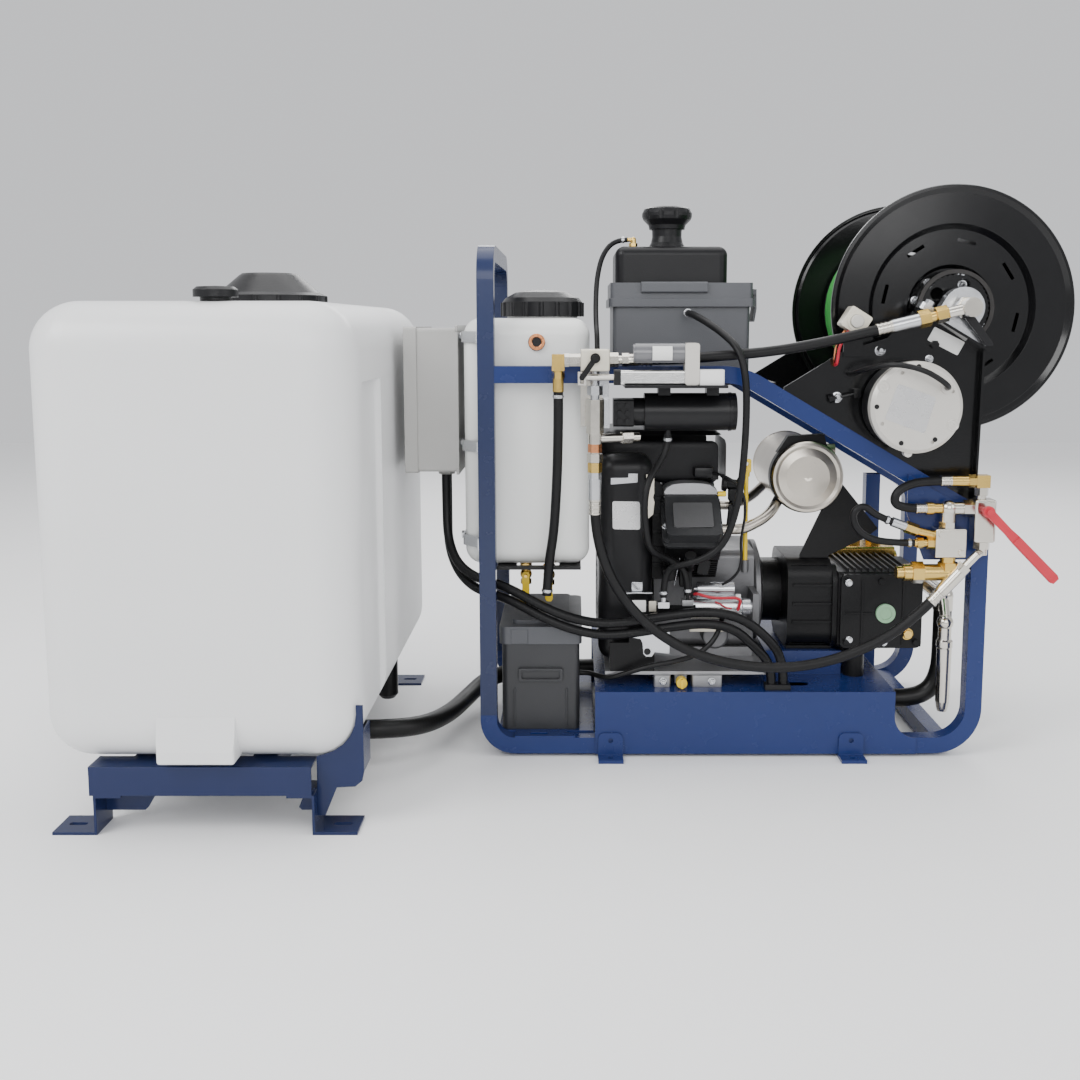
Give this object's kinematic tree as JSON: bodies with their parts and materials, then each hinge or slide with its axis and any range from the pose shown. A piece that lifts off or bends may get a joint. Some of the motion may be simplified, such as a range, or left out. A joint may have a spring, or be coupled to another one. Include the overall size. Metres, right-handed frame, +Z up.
{
  "type": "pressure washer",
  "caption": "Engine-driven drain-jetting pressure washer skid with powered hose reel, and a separate white water tank on a stand.",
  "frame": {"origin": "centre of the skid's four deck bolts, on the floor under its feet", "axes": "+X to the operator's right, from the water tank to the hose reel; +Y back from the operator; +Z up"},
  "size_m": [2.2007, 1.0765, 1.319],
  "materials": {
    "white_polyethylene": "satin",
    "pale_box": "satin",
    "black_paint": "satin",
    "blue_paint": "gloss powder coat",
    "yellow_paint": "gloss",
    "hose_rubber": "matt",
    "cable_sleeve": "satin",
    "red_rubber": "satin",
    "reel_hose_cover": "matt",
    "dark_plastic": "matt, grained",
    "black_plastic": "satin",
    "yellow_plastic": "satin",
    "button_plastic": "gloss",
    "zinc_steel": "zinc plated",
    "stainless": "satin",
    "machined_steel": "turned",
    "chain_steel": "oiled",
    "nickel": "nickel plated",
    "cast_aluminium": "cast",
    "motor_grey": "matt",
    "dark_casting": "painted casting",
    "brass": "satin"
  },
  "bodies": {
    "skid": {"water_tank": "white_polyethylene", "tank_vent_cap": "black_plastic", "tank_stand": "blue_paint", "tank_outlet": "blue_paint", "suction_hose": "hose_rubber", "left_hoop": "blue_paint", "front_rail": "blue_paint", "rear_rail": "blue_paint", "cross_tubes": "blue_paint", "base_pan": "blue_paint", "battery_box": "dark_plastic", "battery": "dark_plastic", "chem_tank": "white_polyethylene", "chem_tank_straps": "black_paint", "drain_valves": "brass", "control_box": "pale_box", "control_box_lid": "pale_box", "fuel_case": "dark_plastic", "fuel_tank": "black_plastic", "engine_block": "cast_aluminium", "cylinder_pair": "cast_aluminium", "valve_covers": "black_paint", "blower_housing": "black_plastic", "starter_motor": "zinc_steel", "exhaust": "stainless", "engine_mounts": "black_paint", "gearbox": "dark_casting", "pump_crankcase": "dark_casting", "pump_manifold": "brass", "reel_bearings": "zinc_steel", "reel_brackets": "black_paint", "drive_chain": "chain_steel", "reel_motor": "motor_grey", "reel_swivel": "nickel", "reel_switch": "black_plastic", "valve_block": "nickel", "actuator_body": "motor_grey", "regulator_block": "nickel", "aux_motor": "black_paint", "high_pressure_hoses": "hose_rubber", "low_pressure_hoses": "hose_rubber", "wiring": "cable_sleeve"},
    "tank_lid": {"tank_lid": "black_plastic"},
    "chem_tank_cap": {"chem_tank_cap": "black_plastic"},
    "fuel_cap": {"fuel_cap": "black_plastic"},
    "battery_lid": {"battery_lid": "dark_plastic"},
    "drain_cap": {"drain_cap": "yellow_plastic"},
    "dipstick": {"dipstick": "yellow_plastic"},
    "crankshaft": {"crankshaft": "machined_steel"},
    "pump_shaft": {"pump_shaft": "machined_steel"},
    "reel": {"reel_drum": "black_paint", "wound_hose": "reel_hose_cover"},
    "motor_sprocket": {"motor_sprocket": "machined_steel"},
    "actuator_rod": {"actuator_rod": "stainless"},
    "valve_lever": {"valve_lever": "dark_casting"},
    "red_lever": {"red_lever": "red_rubber"},
    "front_valve_lever": {"front_valve_lever": "yellow_paint"},
    "rear_valve_lever": {"rear_valve_lever": "yellow_paint"},
    "reel_button": {"reel_button": "button_plastic"},
    "case_latch": {"case_latch": "black_plastic"}
  },
  "joints": [
    {"name": "reel_spin", "type": "hinge", "parent": "skid", "child": "reel", "pos_m": [0.5037, 0, 1.04], "axis": [0, 1, 0], "continuous": true},
    {"name": "motor_sprocket_spin", "type": "hinge", "parent": "skid", "child": "motor_sprocket", "pos_m": [0.387, 0, 0.822], "axis": [0, 1, 0], "continuous": true},
    {"name": "crank_spin", "type": "hinge", "parent": "skid", "child": "crankshaft", "pos_m": [0, 0, 0.335], "axis": [1, 0, 0], "continuous": true},
    {"name": "pump_spin", "type": "hinge", "parent": "skid", "child": "pump_shaft", "pos_m": [0, -0.08, 0.32], "axis": [1, 0, 0], "continuous": true},
    {"name": "actuator_slide", "type": "slide", "parent": "skid", "child": "actuator_rod", "axis": [1, 0, 0], "range_m": [0, 0.058]},
    {"name": "valve_turn", "type": "hinge", "parent": "skid", "child": "valve_lever", "pos_m": [-0.3185, 0, 0.93], "axis": [0, 1, 0], "range_deg": [-69.55, 0]},
    {"name": "ball_valve_turn", "type": "hinge", "parent": "skid", "child": "red_lever", "pos_m": [0.551, 0, 0.592], "axis": [0, 1, 0], "range_deg": [-45, 45]},
    {"name": "front_drain_turn", "type": "hinge", "parent": "skid", "child": "front_valve_lever", "pos_m": [-0.479, 0, 0.415], "axis": [0, 1, 0], "range_deg": [0, 90]},
    {"name": "rear_drain_turn", "type": "hinge", "parent": "skid", "child": "rear_valve_lever", "pos_m": [-0.424, 0, 0.415], "axis": [0, 1, 0], "range_deg": [-90, 0]},
    {"name": "reel_button_push", "type": "slide", "parent": "skid", "child": "reel_button", "axis": [0, 1, 0], "range_m": [0, 0.004], "stiffness_N_per_m": 400, "springref_m": -0.003},
    {"name": "case_latch_turn", "type": "hinge", "parent": "skid", "child": "case_latch", "pos_m": [0.076, 0, 1.082], "axis": [0, 1, 0], "range_deg": [-110, 0]},
    {"name": "dipstick_pull", "type": "slide", "parent": "skid", "child": "dipstick", "axis": [0, 0, 1], "range_m": [0, 0.18]},
    {"name": "drain_cap_pull", "type": "slide", "parent": "skid", "child": "drain_cap", "axis": [0, -1, 0], "range_m": [0, 0.03]},
    {"name": "tank_lid_lift", "type": "slide", "parent": "skid", "child": "tank_lid", "axis": [0, 0, 1], "range_m": [0, 0.15]},
    {"name": "chem_cap_lift", "type": "slide", "parent": "skid", "child": "chem_tank_cap", "axis": [0, 0, 1], "range_m": [0, 0.12]},
    {"name": "fuel_cap_lift", "type": "slide", "parent": "skid", "child": "fuel_cap", "axis": [0, 0, 1], "range_m": [0, 0.1]},
    {"name": "battery_lid_lift", "type": "slide", "parent": "skid", "child": "battery_lid", "axis": [0, 0, 1], "range_m": [0, 0.035]}
  ],
  "couplings": [
    {"joint": "motor_sprocket_spin", "follows": "reel_spin", "ratio": 2.9286},
    {"joint": "pump_spin", "follows": "crank_spin", "ratio": -0.45454},
    {"joint": "valve_turn", "follows": "actuator_slide", "rad_per_m": -20.838}
  ]
}
